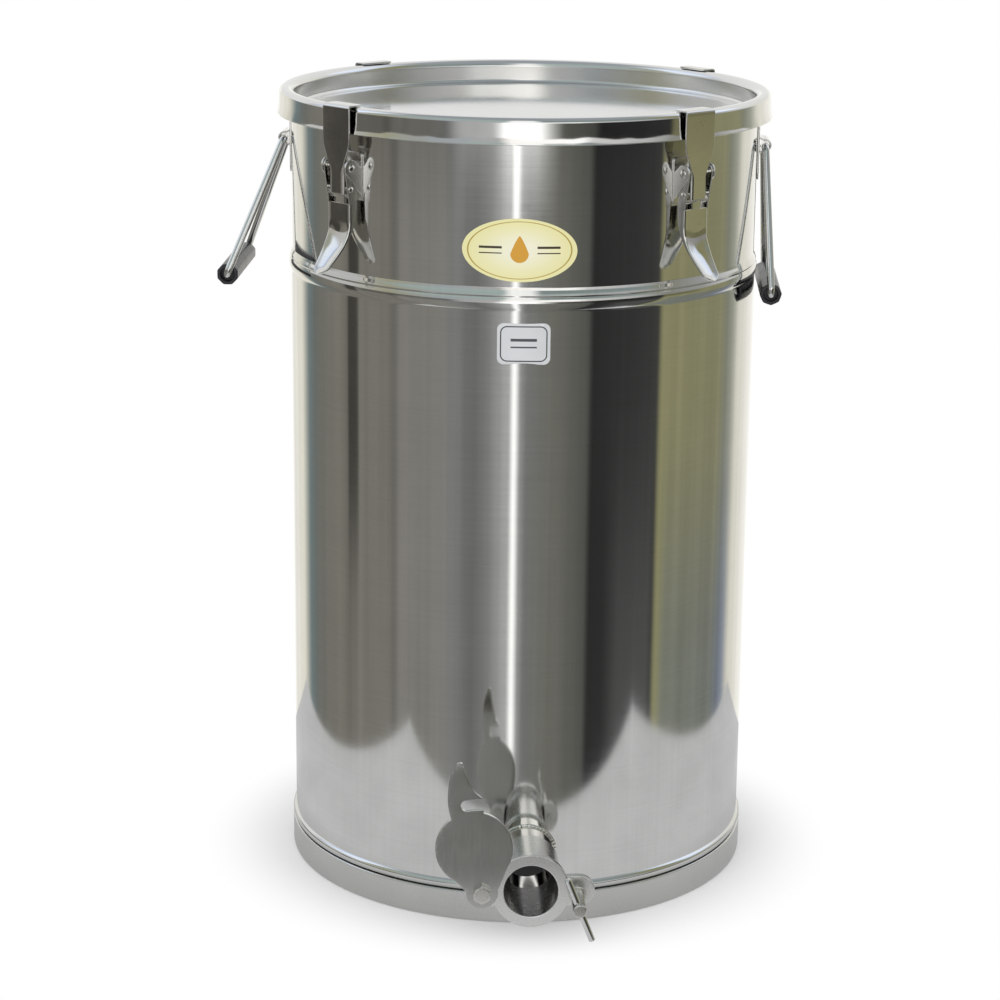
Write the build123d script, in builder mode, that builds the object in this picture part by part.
from build123d import *
import os
from math import sin, cos, radians

# Stainless steel honey bottling tank: welded drum with a clamped lid, four
# toggle latches, two bail handles and a pivoting honey gate at the bottom.
# Origin: centre of the foot ring's underside, on the floor. +Z up, the gate
# points along -Y. Azimuths are measured from -Y towards +X, in degrees.
# Profiles of revolved pieces and side views are drawn as (radius, height).
os.makedirs("parts", exist_ok=True)

# ---------------------------------------------------------------- shared sizes
SHEET = 1.0              # drum and lid sheet
R_LOW = 190.0            # outer radius of the wall below the belt bead
R_UP = 189.0             # outer radius of the wall above the belt bead
PLATE_IN = R_UP + 0.03   # inner radius of the plates fixed to the upper wall
PLATE_OUT = R_UP + 1.55  # their outer radius
BORE_Z = 59.3            # height of the outlet axis
PIPE_R = 22.7            # outer radius of the outlet pipe

# Construction sizes, only long enough to pass through what they cut
CUT_START = 150.0        # radius inside the wall where outward cuts begin
CUT_LEN = 60.0
LATCH_CUT_LEN = 100.0    # reaches past the lever's tongue
CORE_H = 1400.0          # cylinder that clears fittings off the wall


# ---------------------------------------------------------------- helpers
def radial(azimuth):
    """Unit vector pointing outward."""
    return Vector(sin(radians(azimuth)), -cos(radians(azimuth)), 0)


def tangent(azimuth):
    """Unit vector along the wall, towards increasing azimuth."""
    return Vector(cos(radians(azimuth)), sin(radians(azimuth)), 0)


def side_plane(azimuth, shift=0.0):
    """Radial section plane: x = radius, y = height, shifted along the tangent."""
    return Plane(origin=tangent(azimuth) * shift, x_dir=radial(azimuth),
                 z_dir=tangent(azimuth) * -1)


def face_plane(azimuth):
    """Plane seen from outside: x = tangent, y = height, normal points outward."""
    return Plane(origin=radial(azimuth) * CUT_START, x_dir=tangent(azimuth),
                 z_dir=radial(azimuth))


def gate_plane(y):
    """Plane across the outlet axis: x right, y up, normal -Y."""
    return Plane(origin=(0, y, BORE_Z), x_dir=(1, 0, 0), z_dir=(0, -1, 0))


def save(builder, name):
    builder.part.label = name
    export_step(builder.part, "parts/" + name + ".step")


def turned_ring(name, profile):
    """Revolve a closed straight-sided profile about Z and save it."""
    with BuildPart() as ring:
        with BuildSketch(Plane.XZ):
            with BuildLine():
                Polyline(*profile, close=True)
            make_face()
        revolve(axis=Axis.Z)
    save(ring, name)


def wall_plate(azimuth, width, bottom, top, corner):
    """Round-cornered plate curved with the upper wall."""
    with BuildPart() as plate:
        with BuildSketch(Plane.XY.offset(bottom)):
            Circle(PLATE_OUT)
            Circle(PLATE_IN, mode=Mode.SUBTRACT)
        extrude(amount=top - bottom)
        with BuildSketch(face_plane(azimuth)):
            with Locations((0, (top + bottom) / 2)):
                RectangleRounded(width, top - bottom, corner)
        extrude(amount=CUT_LEN, mode=Mode.INTERSECT)
    return plate.part


# ---------------------------------------------------------------- drum
RIM_Z = 637.0            # centre height of the rolled top edge
RIM_R = 2.0              # radius of the curl's outline before the sheet offset
BEAD_Z = 499.9           # where the belt bead starts
STEP_Z = 521.4           # where the upper wall starts

# The line runs from the bottom seam to the rolled rim; the sheet is offset from it.
with BuildPart() as tank_shell:
    with BuildSketch(Plane.XZ):
        with BuildLine():
            ThreePointArc((190.6, 25.2), (192.5, 28.6), (R_LOW, 33.0))
            Line((R_LOW, 33.0), (R_LOW, BEAD_Z))
            ThreePointArc((R_LOW, BEAD_Z), (191.5, 505.0), (190.5, 510.3))
            Line((190.5, 510.3), (190.9, 511.4))
            Line((190.9, 511.4), (R_UP, STEP_Z))
            Line((R_UP, STEP_Z), (R_UP, RIM_Z))
            ThreePointArc((R_UP, RIM_Z), (R_UP + RIM_R, RIM_Z + RIM_R),
                          (R_UP + 2 * RIM_R, RIM_Z))
            offset(amount=SHEET, side=Side.LEFT)
        make_face()
    revolve(axis=Axis.Z)
    # outlet hole
    with BuildSketch(gate_plane(-CUT_START)):
        Circle(PIPE_R + 0.02)
    extrude(amount=CUT_LEN, mode=Mode.SUBTRACT)
save(tank_shell, "tank_shell")

# Dished floor with a down-turned flange inside the wall
turned_ring("tank_floor", [
    (0, 34.4), (184.5, 36.0), (187.2, 33.6), (187.9, 33.0), (187.9, 27.0),
    (188.9, 27.0), (188.9, 34.6), (185.6, 37.2), (0, 35.6)])

# Foot ring: flat band on the floor, stepped in at the top to carry the drum
FOOT_R = 192.6           # outer radius
FOOT_H = 24.6            # height of the band
FOOT_T = 1.2             # sheet
FOOT_BEVEL = 0.8
FOOT_IN_R = 179.0        # inner edge of the flange on the floor
COLLAR_STEP_R = 187.6    # outer radius of the upstand
COLLAR_STEP_Z = 31.0     # top of the upstand
turned_ring("foot_ring", [
    (FOOT_IN_R, 0), (FOOT_R - FOOT_BEVEL, 0), (FOOT_R, FOOT_BEVEL),
    (FOOT_R, FOOT_H - FOOT_BEVEL), (FOOT_R - FOOT_BEVEL, FOOT_H),
    (COLLAR_STEP_R, FOOT_H), (COLLAR_STEP_R, COLLAR_STEP_Z),
    (COLLAR_STEP_R - FOOT_T, COLLAR_STEP_Z), (COLLAR_STEP_R - FOOT_T, FOOT_H - FOOT_T),
    (FOOT_R - FOOT_T, FOOT_H - FOOT_T), (FOOT_R - FOOT_T, FOOT_T), (FOOT_IN_R, FOOT_T)])

# ---------------------------------------------------------------- lid
WELL_TOP = 628.2         # upper face of the sunken centre
WELL_R = 186.2           # inner face of the well's wall
CROWN_Z = 647.0          # top of the raised rim
SKIRT_R = 199.0          # outer face of the skirt, at its top
SKIRT_END_R = 200.1      # outer face of the skirt, at its lower edge
SKIRT_END_Z = 626.5
WELL_BEND = 3.0          # bend radii on the upper face
CROWN_BEND = 6.0
SKIRT_BEND = 4.4

well_back = WELL_R + SHEET
well_under = WELL_TOP - SHEET
skirt_back = SKIRT_R - SHEET
crown_under = CROWN_Z - SHEET
well_flat_r = WELL_R - WELL_BEND       # ends of the straight runs between bends
well_wall_z = WELL_TOP + WELL_BEND
crown_wall_z = CROWN_Z - CROWN_BEND
crown_in_r = WELL_R + CROWN_BEND
crown_out_r = SKIRT_R - SKIRT_BEND
skirt_top_z = CROWN_Z - SKIRT_BEND

with BuildPart() as lid:
    with BuildSketch(Plane.XZ):
        with BuildLine():
            # upper face, from the centre out
            Line((0, WELL_TOP), (well_flat_r, WELL_TOP))
            RadiusArc((well_flat_r, WELL_TOP), (WELL_R, well_wall_z), -WELL_BEND)
            Line((WELL_R, well_wall_z), (WELL_R, crown_wall_z))
            RadiusArc((WELL_R, crown_wall_z), (crown_in_r, CROWN_Z), CROWN_BEND)
            Line((crown_in_r, CROWN_Z), (crown_out_r, CROWN_Z))
            RadiusArc((crown_out_r, CROWN_Z), (SKIRT_R, skirt_top_z), SKIRT_BEND)
            Line((SKIRT_R, skirt_top_z), (SKIRT_END_R, SKIRT_END_Z))
            Line((SKIRT_END_R, SKIRT_END_Z), (SKIRT_END_R - SHEET, SKIRT_END_Z))
            # lower face, back to the centre
            Line((SKIRT_END_R - SHEET, SKIRT_END_Z), (skirt_back, skirt_top_z))
            RadiusArc((skirt_back, skirt_top_z), (crown_out_r, crown_under),
                      -(SKIRT_BEND - SHEET))
            Line((crown_out_r, crown_under), (crown_in_r, crown_under))
            RadiusArc((crown_in_r, crown_under), (well_back, crown_wall_z),
                      -(CROWN_BEND - SHEET))
            Line((well_back, crown_wall_z), (well_back, well_wall_z))
            RadiusArc((well_back, well_wall_z), (well_flat_r, well_under),
                      WELL_BEND + SHEET)
            Line((well_flat_r, well_under), (0, well_under))
            Line((0, well_under), (0, WELL_TOP))
        make_face()
    revolve(axis=Axis.Z)
save(lid, "lid")

turned_ring("lid_gasket", [
    (188.4, 640.15), (196.8, 640.15), (196.8, 643.0), (195.4, 645.4),
    (191.2, 645.4), (188.4, 643.0)])

# ---------------------------------------------------------------- outlet and gate
PIPE_Y = -212.0          # joint between pipe and gate collar
SEAL_Y = -267.0          # sealing face of the gate
RING_R, RING_T = 30.0, 6.0             # sealing ring
LUG_R, LUG_T = 12.5, 5.0
LUG_X = 38.0             # pivot bolt at -X
STUD_X = 35.5            # clamp stud at +X
PIVOT = (-LUG_X, 0)
STUD = (STUD_X, 0)
STUD_R = 3.0
STUD_HOLE_R = 3.08       # in the clamp's washer and nut
BOLT_R = 4.0
BOLT_HOLE_R = 4.02
HEX_R = 6.5              # bolt head and nut, half across flats
EDGE_BREAK = 0.6         # small fillets and chamfers on the gate hardware
GATE_CUT_LEN = 60.0
RING_BACK_Y = SEAL_Y + RING_T

with BuildPart() as outlet_pipe:
    with BuildSketch(gate_plane(PIPE_Y + 0.02)):
        Circle(PIPE_R)
        Circle(21.5, mode=Mode.SUBTRACT)
    extrude(amount=-40)
    # trim the inner end to the drum
    Cylinder(radius=R_LOW - SHEET - 0.3, height=300, mode=Mode.SUBTRACT)
save(outlet_pipe, "outlet_pipe")

with BuildPart() as gate_body:
    # collar
    with BuildSketch(gate_plane(PIPE_Y)):
        Circle(24.5)
    extrude(amount=PIPE_Y - SEAL_Y)
    # sealing ring
    with BuildSketch(gate_plane(RING_BACK_Y)):
        Circle(RING_R)
    extrude(amount=RING_T)
    # lugs, set 1 mm behind the sealing face
    with BuildSketch(gate_plane(RING_BACK_Y)):
        with Locations(PIVOT, (STUD_X + 1.5, 0)):
            Circle(LUG_R)
        Rectangle(2 * LUG_X - 4, 2 * LUG_R)
    extrude(amount=LUG_T)
    fillet(gate_body.faces().sort_by(Axis.Y)[0].outer_wire().edges(), EDGE_BREAK)
    # bore
    with BuildSketch(gate_plane(PIPE_Y)):
        Circle(21.0)
    extrude(amount=GATE_CUT_LEN, mode=Mode.SUBTRACT)
    # bolt hole and stud hole
    with BuildSketch(gate_plane(PIPE_Y)):
        with Locations(PIVOT):
            Circle(BOLT_HOLE_R)
        with Locations(STUD):
            Circle(STUD_R + 0.02)
    extrude(amount=GATE_CUT_LEN, mode=Mode.SUBTRACT)
save(gate_body, "gate_body")

# Pivot: hex bolt, spacer washer behind the flap, nut behind the lug
FLAP_T = 3.0
HEAD_Y = SEAL_Y - FLAP_T - 0.1         # underside of the bolt head
HEAD_T = 5.3

with BuildPart() as gate_pivot_bolt:
    with BuildSketch(gate_plane(HEAD_Y)):
        with Locations(PIVOT):
            RegularPolygon(HEX_R, 6, major_radius=False)
    extrude(amount=HEAD_T)
    # round off the hexagon's corners
    with BuildSketch(gate_plane(HEAD_Y)):
        with Locations(PIVOT):
            Circle(6.9)
    extrude(amount=HEAD_T, mode=Mode.INTERSECT)
    chamfer(gate_pivot_bolt.faces().sort_by(Axis.Y)[0].edges(), EDGE_BREAK)
    # shank
    with BuildSketch(gate_plane(HEAD_Y)):
        with Locations(PIVOT):
            Circle(BOLT_R)
    extrude(amount=-18.0)
save(gate_pivot_bolt, "gate_pivot_bolt")

SPACER_Y = SEAL_Y + 0.98               # rear face of the spacer washer
SPACER_T = 0.93
with BuildPart() as gate_pivot_washer:
    with BuildSketch(gate_plane(SPACER_Y)):
        with Locations(PIVOT):
            Circle(8.0)
            Circle(BOLT_HOLE_R, mode=Mode.SUBTRACT)
    extrude(amount=SPACER_T)
    # cut clear of the raised sealing ring
    with BuildSketch(gate_plane(SPACER_Y)):
        Circle(RING_R + 0.05)
    extrude(amount=SPACER_T, mode=Mode.SUBTRACT)
save(gate_pivot_washer, "gate_pivot_washer")

with BuildPart() as gate_pivot_nut:
    with BuildSketch(gate_plane(RING_BACK_Y + 0.02)):
        with Locations(PIVOT):
            RegularPolygon(HEX_R, 6, major_radius=False)
            Circle(BOLT_HOLE_R, mode=Mode.SUBTRACT)
    extrude(amount=-6.5)
    chamfer(gate_pivot_nut.faces().sort_by(Axis.Y)[-1].outer_wire().edges(), EDGE_BREAK)
save(gate_pivot_nut, "gate_pivot_nut")

with BuildPart() as gate_stud:
    with BuildSketch(gate_plane(SEAL_Y + 7.0)):
        with Locations(STUD):
            Circle(STUD_R)
    extrude(amount=31.0)
save(gate_stud, "gate_stud")

# Flap, drawn in its open position: round disc, pivot lug and a curved horn
# with an arc slot about the pivot that receives the stud
FLAP_Y = SEAL_Y - 0.05                 # rear face
FLAP_CENTRE = (-44.2, 36.5)
SLOT_R = 73.0                          # centreline radius about the pivot
SLOT_W = 8.4
OPEN_DEG = 99.6                        # the flap stands this far open
SLOT_START = radians(OPEN_DEG + 0.2)   # centre of the slot's round end
SLOT_END = radians(80.0)               # cut through the horn's edge
SLOT_MID = (SLOT_START + SLOT_END) / 2
SLOT_TIP = SLOT_START + SLOT_W / 2 / SLOT_R
slot_outer = SLOT_R + SLOT_W / 2
slot_inner = SLOT_R - SLOT_W / 2


def about_pivot(radius, angle):
    """Point on the gate plane, polar about the pivot."""
    return (-LUG_X + radius * cos(angle), radius * sin(angle))


with BuildPart() as gate_flap:
    with BuildSketch(gate_plane(FLAP_Y)):
        with Locations(FLAP_CENTRE):
            Circle(30.2)
        with Locations(PIVOT):
            Circle(12.6)
        # web between the disc and the lug
        with BuildLine():
            Polyline((-50.4, 1.2), (-71.3, 23.5), (-30.0, 40.0), (-17.0, 24.0),
                     (-25.6, 2.0), (-38.0, 0.0), close=True)
        make_face()
        # horn
        with BuildLine():
            Spline((-60.0, 52.0), (-64.6, 72.0), (-64.6, 84.0), (-62.6, 97.9),
                   (-58.8, 105.0))
            ThreePointArc((-58.8, 105.0), (-55.8, 108.2), (-53.0, 105.0))
            Spline((-53.0, 105.0), (-49.4, 93.5), (-44.2, 83.6), (-38.2, 78.3))
            Line((-38.2, 78.3), (-36.8, 66.6))
            Line((-36.8, 66.6), (-44.0, 52.0))
            Line((-44.0, 52.0), (-60.0, 52.0))
        make_face()
    extrude(amount=FLAP_T)
    # arc slot
    with BuildSketch(gate_plane(FLAP_Y)):
        with BuildLine():
            ThreePointArc(about_pivot(slot_outer, SLOT_START),
                          about_pivot(slot_outer, SLOT_MID),
                          about_pivot(slot_outer, SLOT_END))
            Line(about_pivot(slot_outer, SLOT_END), about_pivot(slot_inner, SLOT_END))
            ThreePointArc(about_pivot(slot_inner, SLOT_END),
                          about_pivot(slot_inner, SLOT_MID),
                          about_pivot(slot_inner, SLOT_START))
            ThreePointArc(about_pivot(slot_inner, SLOT_START),
                          about_pivot(SLOT_R, SLOT_TIP),
                          about_pivot(slot_outer, SLOT_START))
        make_face()
    extrude(amount=FLAP_T, mode=Mode.SUBTRACT)
    # pivot hole
    with BuildSketch(gate_plane(FLAP_Y)):
        with Locations(PIVOT):
            Circle(4.06)
    extrude(amount=FLAP_T, mode=Mode.SUBTRACT)
save(gate_flap, "gate_flap")

# Clamp: washer, long nut on the stud, tommy bar through the nut
CLAMP_WASHER_Y = -273.6                # rear face
CLAMP_WASHER_T = 1.4
CLAMP_NUT_Y = CLAMP_WASHER_Y - CLAMP_WASHER_T - 0.05
BAR_Y = -300.8
BAR_TILT = 21.3                        # degrees from upright, top towards -X
BAR_R = 2.5
bar_plane = Plane(origin=(STUD_X, BAR_Y, BORE_Z), x_dir=(0, 1, 0),
                  z_dir=Vector(-sin(radians(BAR_TILT)), 0, cos(radians(BAR_TILT))))

with BuildPart() as clamp_washer:
    with BuildSketch(gate_plane(CLAMP_WASHER_Y)):
        with Locations(STUD):
            Circle(7.0)
            Circle(STUD_HOLE_R, mode=Mode.SUBTRACT)
    extrude(amount=CLAMP_WASHER_T)
save(clamp_washer, "clamp_washer")

with BuildPart() as clamp_nut:
    with BuildSketch(gate_plane(CLAMP_NUT_Y)):
        with Locations(STUD):
            Circle(5.4)
    extrude(amount=31.0)
    chamfer(clamp_nut.edges().filter_by(GeomType.CIRCLE), EDGE_BREAK)
    # blind hole for the stud
    with BuildSketch(gate_plane(CLAMP_NUT_Y)):
        with Locations(STUD):
            Circle(STUD_HOLE_R)
    extrude(amount=22.5, mode=Mode.SUBTRACT)
    # cross hole for the bar
    with BuildSketch(bar_plane):
        Circle(BAR_R + 0.02)
    extrude(amount=10, both=True, mode=Mode.SUBTRACT)
save(clamp_nut, "clamp_nut")

with BuildPart() as tommy_bar:
    with BuildSketch(bar_plane.offset(-1.0)):
        Circle(BAR_R)
    extrude(amount=27.0, both=True)
    fillet(tommy_bar.edges().filter_by(GeomType.CIRCLE), 0.7)
save(tommy_bar, "tommy_bar")


# ---------------------------------------------------------------- labels
STICKER_GAP = 0.05       # between the wall and a sticker
STICKER_BAND = 60.0      # height of the band a sticker is cut from


def sticker(name, wall_r, outer_gap, height, outline):
    """Thin skin on the wall, cut to an outline prism and raised to its height."""
    with BuildPart() as skin:
        with BuildSketch(Plane.XY.offset(-STICKER_BAND / 2)):
            Circle(wall_r + outer_gap)
            Circle(wall_r + STICKER_GAP, mode=Mode.SUBTRACT)
        extrude(amount=STICKER_BAND)
        add(outline, mode=Mode.INTERSECT)
    skin.part.position = (0, 0, height)
    save(skin, name)


with BuildPart() as oval_cut:
    with BuildSketch(face_plane(-3.4)):
        Ellipse(43.9, 24.15, rotation=-1.0)
    extrude(amount=CUT_LEN)
sticker("oval_label", R_UP, outer_gap=0.30, height=546.2, outline=oval_cut.part)

with BuildPart() as rectangle_cut:
    with BuildSketch(face_plane(-2.2)):
        RectangleRounded(40.4, 32.0, 5.0)
    extrude(amount=CUT_LEN)
sticker("lower_sticker", R_LOW, outer_gap=0.25, height=474.5, outline=rectangle_cut.part)

# ---------------------------------------------------------------- handles
# side: azimuth, swing in degrees out from hanging
HANDLES = {"left": (-95.2, 21.8), "right": (85.5, 3.3)}
LOOP_R, LOOP_Z = 194.8, 603.5          # centre of the bracket's loop
LOOP_OUT_R, LOOP_IN_R = 5.1, 3.7
LOOP_HALF = 11.5                       # half length along the tangent
BRACKET_TOP = 625.0                    # stays below the lid's skirt
BRACKET_BOTTOM = 575.4
BAIL_R, BAIL_Z = 194.8, 602.9          # bail's pivot axis
ROD_R = 3.0
BAIL_DROP = 113.9                      # pivot to grip
BAIL_TOP_HALF, BAIL_LOW_HALF = 19.0, 58.7
GRIP_FLATS = 17.0                      # across flats
GRIP_HALF = 52.0
END_BORE_R, END_BORE_DEPTH = 5.9, 5.5  # counterbores in the grip's ends


def handle_bracket(side, azimuth):
    """Curved plate on the wall with a straight loop for the bail."""
    plate = wall_plate(azimuth, 2 * LOOP_HALF + 9, BRACKET_BOTTOM, BRACKET_TOP, 6)
    flank_r = LOOP_R + 0.6             # outer end of the flanks
    with BuildPart() as bracket:
        add(plate)
        # loop and its two straight flanks, back to the plate
        with BuildSketch(side_plane(azimuth)):
            with Locations((LOOP_R, LOOP_Z)):
                Circle(LOOP_OUT_R)
            with BuildLine():
                Polyline((R_UP - 3, LOOP_Z + 6.6), (190.5, LOOP_Z + 6.6),
                         (flank_r, LOOP_Z + 5.06), (flank_r, LOOP_Z - 5.06),
                         (190.5, LOOP_Z - 6.6), (R_UP - 3, LOOP_Z - 6.6), close=True)
            make_face()
            with Locations((LOOP_R, LOOP_Z)):
                Circle(LOOP_IN_R, mode=Mode.SUBTRACT)
            with Locations((192.7, LOOP_Z)):
                Rectangle(4.3, 2 * LOOP_IN_R - 0.4, mode=Mode.SUBTRACT)
        extrude(amount=LOOP_HALF, both=True)
        Cylinder(radius=PLATE_IN, height=CORE_H, mode=Mode.SUBTRACT)
    save(bracket, side + "_handle_bracket")


def bail_frame(azimuth, swing):
    """Bail plane: x = tangent, y = up the bail towards its pivot bar."""
    up = Vector(0, 0, 1) * cos(radians(swing)) - radial(azimuth) * sin(radians(swing))
    origin = radial(azimuth) * BAIL_R + Vector(0, 0, BAIL_Z)
    return Plane(origin=origin, x_dir=tangent(azimuth), z_dir=tangent(azimuth).cross(up))


def bail(side, frame):
    """Bent rod whose two ends meet, 1 mm apart, inside the grip."""
    with BuildPart() as rod:
        with BuildLine(frame) as path:
            FilletPolyline((0.5, -BAIL_DROP), (BAIL_LOW_HALF, -BAIL_DROP),
                           (BAIL_TOP_HALF, 0), (-BAIL_TOP_HALF, 0),
                           (-BAIL_LOW_HALF, -BAIL_DROP), (-0.5, -BAIL_DROP), radius=5.0)
        wire = path.wires()[0]
        with BuildSketch(Plane(origin=wire @ 0, z_dir=wire % 0)):
            Circle(ROD_R)
        sweep()
    save(rod, side + "_bail")


def grip(side, frame):
    """Octagonal sleeve on the bail's lower bar."""
    centre = frame.from_local_coords(Vector(0, -BAIL_DROP, 0))
    end_plane = Plane(origin=centre - frame.x_dir * GRIP_HALF, x_dir=frame.z_dir,
                      z_dir=frame.x_dir)
    with BuildPart() as sleeve:
        with BuildSketch(end_plane):
            RegularPolygon(GRIP_FLATS / 2, 8, major_radius=False, rotation=22.5)
        extrude(amount=2 * GRIP_HALF)
        fillet(sleeve.edges().filter_by(Axis(centre, frame.x_dir)), 1.2)
        with BuildSketch(end_plane):
            Circle(ROD_R + 0.06)
        extrude(amount=2 * GRIP_HALF, mode=Mode.SUBTRACT)
        for start in (0, 2 * GRIP_HALF - END_BORE_DEPTH):
            with BuildSketch(end_plane.offset(start)):
                Circle(END_BORE_R)
            extrude(amount=END_BORE_DEPTH, mode=Mode.SUBTRACT)
    save(sleeve, side + "_grip")


for side, (azimuth, swing) in HANDLES.items():
    handle_bracket(side, azimuth)
    frame = bail_frame(azimuth, swing)
    bail(side, frame)
    grip(side, frame)

# ---------------------------------------------------------------- latches
LATCHES = {"front_left": -47.7, "front_right": 38.5,      # azimuths
           "rear_right": 128.9, "rear_left": -140.9}
PIVOT_R = 199.5
LATCH_PIVOT = (PIVOT_R, 601.0)         # lever's rivet
HOOK_PIN = (199.0, 584.5)              # pin that carries the hook
RIVET_R, PIN_R = 2.0, 1.75
EAR_IN, EAR_T = 13.0, 1.3              # base ears: inner face from the middle, sheet
LEVER_IN, LEVER_T = 11.4, 1.3          # lever flanges, likewise
EAR_OUT = EAR_IN + EAR_T
LEVER_OUT = LEVER_IN + LEVER_T
LEVER_R = 200.5                        # outer face of the lever web
LEVER_BACK = LEVER_R - 1.5             # inner face of the lever web
HOOK_T = 1.5
HOOK_R = 203.0                         # outer face of the hook plate
HOOK_BACK = HOOK_R - HOOK_T
HOOK_UNDER = 647.3                     # underside of the hook over the lid
HOOK_TOP = HOOK_UNDER + HOOK_T
HOOK_BEND = 1.2                        # inner bend radius
HOOK_TIP_R = 189.6                     # inner end of the hook over the lid
HOOK_LOW = 580.2                       # lower end of the hook
HOOK_NECK_HALF = 8.2                   # half width between the lever flanges
HOOK_HALF = 15                         # half width at the lid


def latch_base(name, azimuth):
    """Curved foot on the wall with two teardrop ears."""
    foot = wall_plate(azimuth, 2 * EAR_OUT, 576, 612, 3)
    with BuildPart() as base:
        add(foot)
        for sign in (-1, 1):
            with BuildSketch(side_plane(azimuth, sign * (EAR_IN + EAR_T / 2))):
                with Locations(LATCH_PIVOT):
                    Circle(6.5)
                with BuildLine():
                    Polyline((R_UP - 1, 601.0), (190.4, 601.6), (PIVOT_R - 2.2, 607.1),
                             (PIVOT_R + 4.6, 596.4), (190.8, 581.0), (R_UP - 1, 580.0),
                             close=True)
                make_face()
                with Locations(LATCH_PIVOT):
                    Circle(RIVET_R + 0.02, mode=Mode.SUBTRACT)
            extrude(amount=EAR_T / 2, both=True)
        Cylinder(radius=PLATE_IN, height=CORE_H, mode=Mode.SUBTRACT)
    save(base, name + "_latch_base")


def latch_rivet(name, azimuth):
    """Pivot rivet through both ears, with a rounded head at each end."""
    head_half = 0.6
    with BuildPart() as rivet:
        with BuildSketch(side_plane(azimuth)):
            with Locations(LATCH_PIVOT):
                Circle(RIVET_R)
        extrude(amount=EAR_OUT + 0.4, both=True)
        for sign in (-1, 1):
            with BuildSketch(side_plane(azimuth, sign * (EAR_OUT + 0.02 + head_half))):
                with Locations(LATCH_PIVOT):
                    Circle(3.3)
            extrude(amount=head_half, both=True)
        # the circles farthest from the middle are the heads' outer edges
        circles = rivet.edges().filter_by(GeomType.CIRCLE)
        by_distance = circles.group_by(
            lambda edge: round(abs(edge.center().dot(tangent(azimuth))), 2))
        fillet(by_distance[-1], 0.7)
    save(rivet, name + "_latch_rivet")


def latch_lever(name, azimuth):
    """Web with a scooped tongue below it, and a flange on each side."""
    with BuildPart() as lever:
        # web and tongue in side view
        with BuildSketch(side_plane(azimuth)):
            with BuildLine():
                Polyline((LEVER_BACK, 573.0), (LEVER_R, 573.0), (LEVER_R, 556.0))
                Spline((LEVER_R, 556.0), (203.6, 546.5), (210.9, 534.8), (222.9, 521.2),
                       tangents=((0.02, -1), (0.7, -0.714)))
                Line((222.9, 521.2), (221.8, 520.15))
                Spline((221.8, 520.15), (209.6, 534.0), (202.2, 546.0), (LEVER_BACK, 556.0),
                       tangents=((-0.7, 0.714), (-0.02, 1)))
                Line((LEVER_BACK, 556.0), (LEVER_BACK, 573.0))
            make_face()
        extrude(amount=LEVER_OUT, both=True)
        # outline seen from outside
        with BuildSketch(face_plane(azimuth)):
            with BuildLine():
                Polyline((-LEVER_OUT, 574.0), (-LEVER_OUT, 556.0), (-11.0, 541.5),
                         (-8.2, 527.2))
                ThreePointArc((-8.2, 527.2), (0, 519.9), (8.2, 527.2))
                Polyline((8.2, 527.2), (11.0, 541.5), (LEVER_OUT, 556.0),
                         (LEVER_OUT, 574.0), (-LEVER_OUT, 574.0))
            make_face()
        extrude(amount=LATCH_CUT_LEN, mode=Mode.INTERSECT)
        # flanges
        for sign in (-1, 1):
            with BuildSketch(side_plane(azimuth, sign * (LEVER_IN + LEVER_T / 2))):
                with Locations(LATCH_PIVOT):
                    Circle(5.4)
                with BuildLine():
                    Polyline((194.2, 600.0), (192.9, 576.0), (194.6, 560.0), (198.6, 549.5),
                             (200.9, 549.0), (LEVER_R, 556.0), (LEVER_R, 575.0),
                             (204.7, 599.0), close=True)
                make_face()
                with Locations(LATCH_PIVOT):
                    Circle(RIVET_R + 0.06, mode=Mode.SUBTRACT)
                with Locations(HOOK_PIN):
                    Circle(PIN_R + 0.02, mode=Mode.SUBTRACT)
            extrude(amount=LEVER_T / 2, both=True)
    save(lever, name + "_latch_lever")


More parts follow.
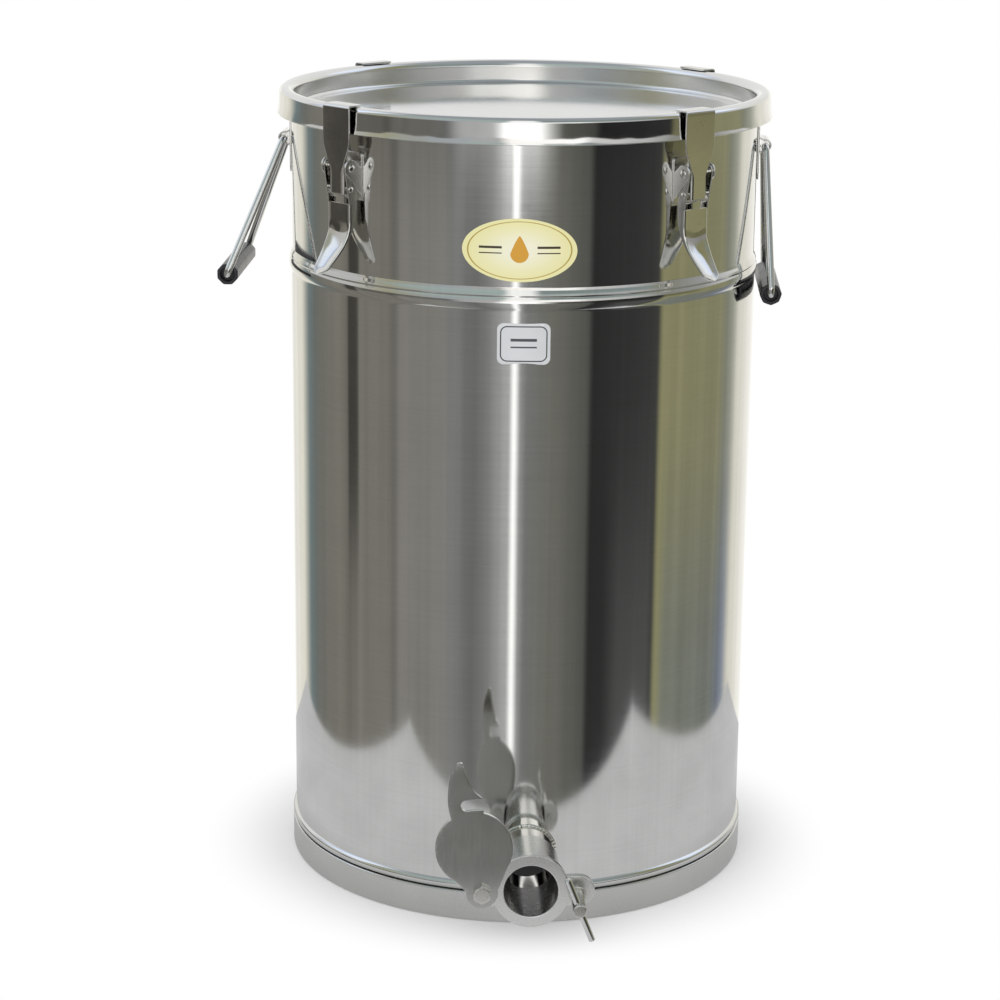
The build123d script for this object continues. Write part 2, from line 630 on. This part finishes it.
def hook_pin(name, azimuth):
    """Headed pin through the lever's flanges."""
    head_half = 0.5
    with BuildPart() as pin:
        with BuildSketch(side_plane(azimuth)):
            with Locations(HOOK_PIN):
                Circle(PIN_R)
        extrude(amount=LEVER_OUT + 0.3, both=True)
        for sign in (-1, 1):
            with BuildSketch(side_plane(azimuth, sign * (LEVER_OUT + 0.02 + head_half))):
                with Locations(HOOK_PIN):
                    Circle(2.6)
            extrude(amount=head_half, both=True)
    save(pin, name + "_hook_pin")


def latch_hook(name, azimuth):
    """Plate bent over the lid's rim, with two cheeks around the pin."""
    bend_r = HOOK_BACK - HOOK_BEND     # centre of the bend
    bend_z = HOOK_UNDER - HOOK_BEND
    # right half of the outline seen from outside, from the bottom up
    half = [(HOOK_NECK_HALF, 580.0), (HOOK_NECK_HALF, 600.0), (9.6, 606.0),
            (13.7, 616.0), (HOOK_HALF, 622.0), (HOOK_HALF, 650.0)]
    outline = [(-x, z) for x, z in half] + half[::-1]
    with BuildPart() as hook:
        with BuildSketch(side_plane(azimuth)):
            with BuildLine():
                Polyline((HOOK_TIP_R, HOOK_UNDER), (bend_r, HOOK_UNDER))
                RadiusArc((bend_r, HOOK_UNDER), (HOOK_BACK, bend_z), HOOK_BEND)
                Polyline((HOOK_BACK, bend_z), (HOOK_BACK, HOOK_LOW), (HOOK_R, HOOK_LOW),
                         (HOOK_R, bend_z))
                RadiusArc((HOOK_R, bend_z), (bend_r, HOOK_TOP), -(HOOK_BEND + HOOK_T))
                Polyline((bend_r, HOOK_TOP), (HOOK_TIP_R, HOOK_TOP),
                         (HOOK_TIP_R, HOOK_UNDER))
            make_face()
        extrude(amount=HOOK_HALF, both=True)
        with BuildSketch(face_plane(azimuth)):
            with BuildLine():
                Polyline(*outline, close=True)
            make_face()
        extrude(amount=LATCH_CUT_LEN, mode=Mode.INTERSECT)
        # cheeks
        for sign in (-1, 1):
            with BuildSketch(side_plane(azimuth, sign * (HOOK_NECK_HALF - HOOK_T / 2))):
                with BuildLine():
                    Polyline((202.0, HOOK_LOW), (195.9, HOOK_LOW), (195.9, 589.0),
                             (202.0, 596.5), close=True)
                make_face()
                with Locations(HOOK_PIN):
                    Circle(PIN_R + 0.05, mode=Mode.SUBTRACT)
            extrude(amount=HOOK_T / 2, both=True)
    save(hook, name + "_latch_hook")


for name, azimuth in LATCHES.items():
    for build_piece in (latch_base, latch_rivet, latch_lever, hook_pin, latch_hook):
        build_piece(name, azimuth)
